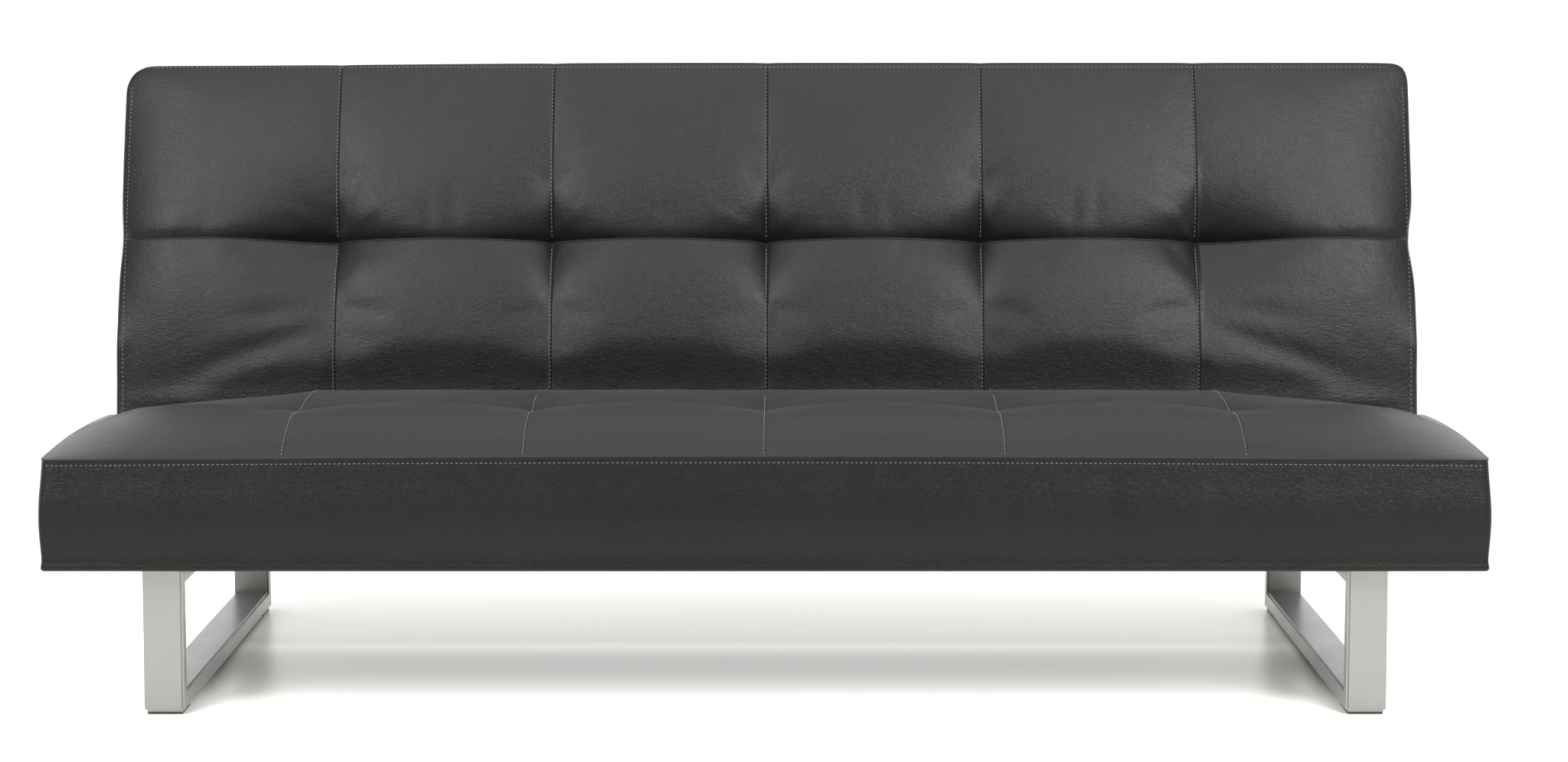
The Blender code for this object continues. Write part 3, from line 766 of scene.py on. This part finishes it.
def leather_material():
    """Black leatherette: fine pebble grain, soft sheen, faint unevenness."""
    mat, tree, shader = new_material("black_leatherette_grain")
    place = coords(tree)
    warp = noise(tree, place, 90.0, 2.0)
    mixed = add(tree, "ShaderNodeVectorMath", operation="MULTIPLY_ADD")
    tree.links.new(warp.outputs["Color"], mixed.inputs[0])
    mixed.inputs[1].default_value = (0.0016, 0.0016, 0.0016)
    tree.links.new(place, mixed.inputs[2])
    pebble = textured(tree, "ShaderNodeTexVoronoi", mixed.outputs[0], feature="DISTANCE_TO_EDGE", Scale=430.0)
    pits = ramp(tree, pebble.outputs["Distance"], [(0.0, grey(0.0)), (0.22, grey(0.85)), (1.0, grey(1.0))])
    small = noise(tree, place, 1500.0, 3.0)
    broad = noise(tree, place, 38.0, 4.0, Roughness=0.6)
    patch = noise(tree, place, 5.0, 3.0)
    mottle = noise(tree, coords(tree, (0.7, 1.3, 1.3)), 190.0, 3.0, Roughness=0.6, Distortion=0.4)
    n = bump(tree, broad.outputs["Fac"], 0.30, 0.0016)
    n = bump(tree, mottle.outputs["Fac"], 0.8, 0.00055, n)
    n = bump(tree, pits, 0.7, 0.00016, n)
    n = bump(tree, small.outputs["Fac"], 0.15, 0.00008, n)
    tree.links.new(n, shader.inputs["Normal"])
    colour = ramp(tree, patch.outputs["Fac"],
                  [(0.3, (0.0012, 0.0010, 0.0009, 1)), (0.7, (0.0026, 0.0022, 0.0019, 1))])
    tree.links.new(mix_colour(tree, colour, pits, 0.45, "MULTIPLY"), shader.inputs[BASE_COLOUR])
    tree.links.new(spread(tree, broad.outputs["Fac"], 0.31, 0.41), shader.inputs["Roughness"])
    shader.inputs["Specular IOR Level"].default_value = 0.20
    shader.inputs["Sheen Weight"].default_value = 0.05
    shader.inputs["Sheen Roughness"].default_value = 0.45
    return mat


def thread_material(name, value, rough):
    """Twisted sewing thread."""
    mat, tree, shader = new_material(name)
    twist = textured(tree, "ShaderNodeTexWave", coords(tree), Scale=700.0, Distortion=1.5)
    colour = ramp(tree, twist.outputs["Fac"], [(0.0, grey(value * 0.7)), (1.0, grey(value * 1.15))])
    tree.links.new(colour, shader.inputs[BASE_COLOUR])
    tree.links.new(bump(tree, twist.outputs["Fac"], 0.5, 0.0002), shader.inputs["Normal"])
    shader.inputs["Roughness"].default_value = rough
    return mat


def brushed_material(name, colour, rough, along):
    """Satin metal with fine brushing; along is small in the direction of the brush."""
    mat, tree, shader = new_material(name)
    lines = noise(tree, coords(tree, along), 1.0, 4.0, Roughness=0.7)
    cloud = noise(tree, coords(tree), 14.0, 3.0)
    shader.inputs["Metallic"].default_value = 1.0
    low, high = tuple(c * 0.92 for c in colour) + (1,), tuple(min(1, c * 1.05) for c in colour) + (1,)
    tree.links.new(ramp(tree, lines.outputs["Fac"], [(0.25, low), (0.75, high)]), shader.inputs[BASE_COLOUR])
    tree.links.new(spread(tree, cloud.outputs["Fac"], rough * 0.85, rough * 1.2), shader.inputs["Roughness"])
    tree.links.new(bump(tree, lines.outputs["Fac"], 0.20, 0.00015), shader.inputs["Normal"])
    return mat


def speckled_material(name, scale, grain, relief, value, spread_of_value, rough):
    """One even colour with a fine grain: powder coat or moulded plastic."""
    mat, tree, shader = new_material(name)
    fine = noise(tree, coords(tree), scale, grain)
    low, high = spread_of_value
    tree.links.new(ramp(tree, fine.outputs["Fac"], [(0.3, grey(value * low)), (0.7, grey(value * high))]),
                   shader.inputs[BASE_COLOUR])
    tree.links.new(bump(tree, fine.outputs["Fac"], relief, 0.0002), shader.inputs["Normal"])
    shader.inputs["Roughness"].default_value = rough
    return mat


def painted_material(name, value, rough):
    """Powder coat with its faint orange peel."""
    return speckled_material(name, 900.0, 2.0, 0.35, value, (0.85, 1.1), rough)


def moulded_material(name, value, rough):
    """Plastic, rubber or foam as it comes out of its mould."""
    return speckled_material(name, 1600.0, 2.0, 0.3, value, (0.8, 1.2), rough)


def wood_material(name, light, dark, scale, ring):
    """Planed timber with its grain along the piece."""
    mat, tree, shader = new_material(name)
    place = coords(tree, scale)
    wave = noise(tree, place, ring, 6.0, Roughness=0.62, Distortion=0.6)
    pores = noise(tree, place, ring * 9, 3.0)
    light, dark = light + (1,), dark + (1,)
    tree.links.new(ramp(tree, wave.outputs["Fac"], [(0.32, dark), (0.5, light), (0.68, dark)]),
                   shader.inputs[BASE_COLOUR])
    tree.links.new(spread(tree, pores.outputs["Fac"], 0.5, 0.72), shader.inputs["Roughness"])
    tree.links.new(bump(tree, pores.outputs["Fac"], 0.3, 0.0004), shader.inputs["Normal"])
    return mat


def lining_material():
    """Black non-woven lining: spot-bonded fibres."""
    mat, tree, shader = new_material("black_lining_cloth")
    place = coords(tree)
    dots = textured(tree, "ShaderNodeTexVoronoi", place, Scale=420.0)
    fibre = noise(tree, place, 1300.0, 4.0, Distortion=1.2)
    patch = noise(tree, place, 9.0, 3.0)
    tree.links.new(ramp(tree, patch.outputs["Fac"], [(0.3, grey(0.011)), (0.7, grey(0.020))]),
                   shader.inputs[BASE_COLOUR])
    n = bump(tree, dots.outputs["Distance"], 0.4, 0.0004)
    tree.links.new(bump(tree, fibre.outputs["Fac"], 0.5, 0.0003, n), shader.inputs["Normal"])
    shader.inputs["Roughness"].default_value = 0.85
    shader.inputs["Sheen Weight"].default_value = 0.15
    return mat


PINE_LIGHT, PINE_DARK = (0.56, 0.36, 0.19), (0.44, 0.26, 0.12)
PLY_LIGHT, PLY_DARK = (0.66, 0.50, 0.31), (0.55, 0.39, 0.22)

leather = leather_material()
thread_grey = thread_material("grey_thread", 0.11, 0.6)
leg_metal = brushed_material("satin_leg_metal", (0.275, 0.275, 0.268), 0.33, (900.0, 14.0, 900.0))
zinc = brushed_material("zinc_plate", (0.62, 0.63, 0.64), 0.30, (400.0, 60.0, 400.0))
black_paint = painted_material("black_powder_coat", 0.03, 0.45)
pine_x = wood_material("pine_along_x", PINE_LIGHT, PINE_DARK, (1.2, 22.0, 22.0), 3.0)
pine_y = wood_material("pine_along_y", PINE_LIGHT, PINE_DARK, (22.0, 1.2, 4.0), 3.0)
ply = wood_material("birch_plywood", PLY_LIGHT, PLY_DARK, (8.0, 2.0, 40.0), 3.0)
lining = lining_material()
nylon = moulded_material("black_nylon_glide", 0.028, 0.45)
rubber = moulded_material("black_rubber_pad", 0.018, 0.75)
foam = moulded_material("cream_foam_cell", 0.55, 0.95)

# the first word found in a node's name gives its finish
FINISHES = (("leg_frame", leg_metal), ("base_", leg_metal), ("glide", nylon), ("rest_pad", rubber),
            ("arm", black_paint), ("bracket", black_paint), ("slat", ply),
            ("frame_front_rail", pine_x), ("frame_rear_rail", pine_x), ("frame_top_rail", pine_x),
            ("frame_lower_rail", pine_x), ("frame", pine_y),
            ("dust", lining), ("rear_panel", lining), ("foam", foam), ("cover", leather))


def dress_frame():
    """Gives every CAD node that stays its own finish."""
    for name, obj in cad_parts.items():
        mat = next((finish for word, finish in FINISHES if word in name), zinc)
        obj.data.materials.clear()
        obj.data.materials.append(mat)


dress_frame()

# ---------------------------------------------------------------- build the cushions

SEAT_EDGE = ((0.0005, -0.0007), (0.0014, -0.0012), (0.0035, -0.0012), (0.0070, -0.0009), (0.0100, -0.0006))
BACK_EDGE = ((0.0005, -0.0014), (0.0016, -0.0026), (0.0030, -0.0020), (0.0045, 0.0002), (0.0070, 0.0014))

# where the back's cover is drawn to its sides: height, droop in degrees and length of each fold
SIDE_FOLDS = [(side * (HALF - 0.006), b, 90 - side * (90 + droop), length, 0.0034, 0.0019)
              for side in (-1, 1)
              for b, droop, length in ((0.186, -6, 0.075), (0.166, 3, 0.105),
                                       (0.146, -2, 0.085), (0.124, 6, 0.060))]
SEAT_BOXING = SEAT_SEAM - SEAT_HEM

seat_style = {
    "seed": 11, "cross": 0.6, "creases": tuft_creases(SEAT, 5, 0.0014),
    "roll": 0.0010, "radius": (0.012, 0.012, 0.012), "inset": 0.002,
    "waist": lambda side: 0.0, "edge_bow": lambda a: 0.0,
    "thick": SEAT_BOXING, "rows": boxing_rows(SEAT_BOXING, 0.0042, SEAT_EDGE, 2.0),
    "wave": 0.0006, "facing_gap": 1, "chamfer": False,
}
back_style = {
    "seed": 23, "cross": 1.0, "creases": tuft_creases(BACK, 9, 0.0024) + SIDE_FOLDS,
    "roll": 0.0016, "radius": (0.012, 0.036, 0.022), "inset": 0.0,
    "waist": lambda side: np.where(side > 0, 0.0075, 0.0035),
    "edge_bow": lambda a: -0.0045 * smoothstep((-a - 0.1) / 0.75),
    "thick": BACK_THICK, "rows": boxing_rows(BACK_THICK, 0.0070, BACK_EDGE, 1.0),
    "wave": 0.0008, "facing_gap": -1, "chamfer": True,
}

seat_cushion = make_cover(SEAT, seat_heights, seat_style, SEAT_CAP)
back_cushion = make_cover(BACK, back_heights, back_style, BACK_CAP)
seat_tree, back_tree = surface_tree(seat_cushion), surface_tree(back_cushion)
for piece, body, nodes in ((seat_cushion, "seat", ("seat_cover", "seat_foam")),
                           (back_cushion, "back", ("back_cover", "back_foam"))):
    piece.data.materials.append(leather)
    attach(piece, body)
    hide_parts(*nodes)

# ---------------------------------------------------------------- lay the stitches

UP, FRONT, OUT_OF_BACK = (0.0, 0.0, 1.0), (0.0, -1.0, 0.0), (0.0, -math.cos(LEAN), math.sin(LEAN))
SEAM_STITCH = (0.0038, 0.0016, 0.00046, 0.00020)      # length, gap, radius and lift
EDGE_STITCH = (0.0036, 0.0024, 0.00050, 0.00010)
SEAM_SIDE = 0.0013                                    # seam threads lie this far beside their seam
EDGE_MARGIN = 0.0075                                  # edge threads lie this far in from the edge seam


def line_on(panel, a0, b0, a1, b1, count=80):
    """A straight line on a panel's flat."""
    t = np.linspace(0, 1, count)
    return panel.place(a0 + (a1 - a0) * t, b0 + (b1 - b0) * t, np.zeros(count))


def seam_lines(panel, outward, spans):
    """Threads beside each upright seam, over the given spans."""
    return [(line_on(panel, a - SEAM_SIDE, b0, a - SEAM_SIDE, b1), outward) + SEAM_STITCH
            for a in panel.seams_a for b0, b1 in spans]


seat_lines = seam_lines(SEAT, UP, ((0.006, SEAT_ROW - 0.004), (SEAT_ROW + 0.006, SEAT_DEPTH - 0.030)))
back_lines = seam_lines(BACK, OUT_OF_BACK,
                        ((0.030, BACK_ROW - 0.006), (BACK_ROW + 0.008, BACK_LENGTH - 0.005)))
z_thread = SEAT_SEAM - 0.0076
front_thread = [(x, SHIFT - 0.002, z_thread + 0.004 * math.cos(0.5 * math.pi * x / HALF))
                for x in np.linspace(-0.885, 0.885, 200)]
seat_lines.append((front_thread, FRONT) + EDGE_STITCH)
for side in (-1, 1):
    end_thread = [(side * 0.9, y, z_thread) for y in np.linspace(SHIFT + 0.02, SHIFT + SEAT_DEPTH - 0.02, 60)]
    seat_lines.append((end_thread, (side, 0, 0)) + EDGE_STITCH)
    a = side * (HALF - EDGE_MARGIN)
    back_lines.append((line_on(BACK, a, 0.02, a, BACK_LENGTH - 0.03), OUT_OF_BACK) + EDGE_STITCH)
b = BACK_LENGTH - EDGE_MARGIN
back_lines.append((line_on(BACK, -HALF + 0.03, b, HALF - 0.03, b, count=200), OUT_OF_BACK) + EDGE_STITCH)
stitches("seat_seam_thread", "seat", seat_tree, seat_lines, thread_grey)
stitches("back_seam_thread", "back", back_tree, back_lines, thread_grey)


# ---------------------------------------------------------------- linings of the hinge openings

def hinge_pocket(name, side):
    """Lining folded into the opening in the back's lower edge."""
    section = ((0.0265, -0.0005), (0.079, -0.0005),            # depth and height of the corners
               (0.1325, OPENING_TOP), (0.0245, OPENING_TOP))
    verts = [tuple(map(float, back_place(np.array(side * x), t, -w)))
             for x in HINGE_OPENING for w, t in section]
    piece = mesh_object(name, verts, [(0, 1, 2, 3), (7, 6, 5, 4), (3, 2, 6, 7)], smooth=False)
    piece.data.materials.append(lining)
    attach(piece, "back")


hinge_pocket("hinge_lining_left", -1)
hinge_pocket("hinge_lining_right", 1)


# ---------------------------------------------------------------- room, light and camera

FLOOR_REACH = 400.0                       # half-width of the floor, so that its edge is never in view
FLOOR_CENTRE = 6.0
FLOOR_NEAR = ((0.87, 0.868, 0.81, 1), (0.91, 0.908, 0.86, 1))      # the pale cloudy floor around the sofa
FLOOR_PAINTED_SHADE = (0.42, 0.42, 0.405, 1)        # painted shade: the floor is darker towards the camera and behind it, standing in for a dimmer room there, so the leather reflects less light
FADE_START, FADE_END = -6.8, -11.5        # over which y, from the floor's centre, one turns into the other


def make_room():
    """A wide floor just below the feet, pale around the sofa, with painted shade that darkens it towards the
    camera.
    """
    bm = bmesh.new()
    bmesh.ops.create_grid(bm, x_segments=2, y_segments=2, size=FLOOR_REACH)
    mesh = bpy.data.meshes.new("studio_floor")
    bm.to_mesh(mesh)
    bm.free()
    floor = link(bpy.data.objects.new("studio_floor", mesh))
    floor.location = (0, FLOOR_CENTRE, -SUNKEN)
    mat, tree, shader = new_material("pale_studio_floor")
    cloud = noise(tree, coords(tree), 1.5, 2.0)
    pale = ramp(tree, cloud.outputs["Fac"], list(zip((0.0, 1.0), FLOOR_NEAR)))
    split = add(tree, "ShaderNodeSeparateXYZ")
    tree.links.new(coords(tree), split.inputs[0])
    # painted shade: the pale floor turns darker towards the camera, standing in for a dimmer room in front
    away = smooth_range(tree, split.outputs["Y"], FADE_START, FADE_END)
    tree.links.new(mix_colour(tree, pale, FLOOR_PAINTED_SHADE, away), shader.inputs[BASE_COLOUR])
    shader.inputs["Roughness"].default_value = 0.28
    shader.inputs["Specular IOR Level"].default_value = 0.35
    mesh.materials.append(mat)


# brightness of the surroundings by the height of the direction looked in
FRONT_WORLD = [(0.0, grey(0.22)), (0.26, grey(0.26)), (0.56, grey(1.08)), (1.0, grey(1.5))]
REAR_WORLD = [(0.0, grey(1.35)), (0.30, grey(1.25)), (1.0, grey(1.5))]
# name, place, aim, size and watts
SOFTBOXES = (("overhead_softbox", (0.0, -0.7, 3.0), (0.0, 0.15, 0.3), (3.4, 1.6), 58),
             ("left_softbox", (-2.1, -3.2, 2.5), (-0.4, 0.0, 0.5), (1.5, 2.0), 185),
             ("right_softbox", (2.0, -3.3, 2.5), (0.4, 0.0, 0.5), (1.5, 2.0), 225))


def area_light(name, place, aim, size, power):
    light = bpy.data.lights.new(name, "AREA")
    light.shape = "RECTANGLE"
    light.size, light.size_y = size
    light.energy = power
    obj = link(bpy.data.objects.new(name, light))
    obj.location = place
    obj.rotation_euler = (Vector(aim) - Vector(place)).to_track_quat("-Z", "Y").to_euler()


def make_light():
    """A white studio: bright ceiling and rear wall, darker behind the camera, and three soft boxes."""
    world = bpy.data.worlds.new("studio")
    world.use_nodes = True
    bpy.context.scene.world = world
    tree = world.node_tree
    split = add(tree, "ShaderNodeSeparateXYZ")
    tree.links.new(add(tree, "ShaderNodeTexCoord").outputs["Generated"], split.inputs[0])
    front = ramp(tree, split.outputs["Z"], FRONT_WORLD)
    rear = ramp(tree, split.outputs["Z"], REAR_WORLD)
    turn = smooth_range(tree, split.outputs["Y"], -0.25, -0.85)
    tree.links.new(mix_colour(tree, rear, front, turn), tree.nodes["Background"].inputs["Color"])
    for softbox in SOFTBOXES:
        area_light(*softbox)


CAMERA_LENS, SENSOR_WIDTH = 84.75, 36.0
CAMERA_PLACE = (0.0235, SHIFT - 4.5, 0.909)
CAMERA_DIP = 0.107                        # radians below the horizon


def make_camera():
    cam = bpy.data.cameras.new("photo_view")
    cam.lens, cam.sensor_width = CAMERA_LENS, SENSOR_WIDTH
    obj = link(bpy.data.objects.new("photo_view", cam))
    obj.location = CAMERA_PLACE
    obj.rotation_euler = (math.pi / 2 - CAMERA_DIP, 0.0, 0.0)
    cam.clip_end = 100.0
    bpy.context.scene.camera = obj


make_room()
make_light()
make_camera()
bpy.context.scene.view_settings.view_transform = "Standard"
bpy.context.scene.view_settings.look = "None"
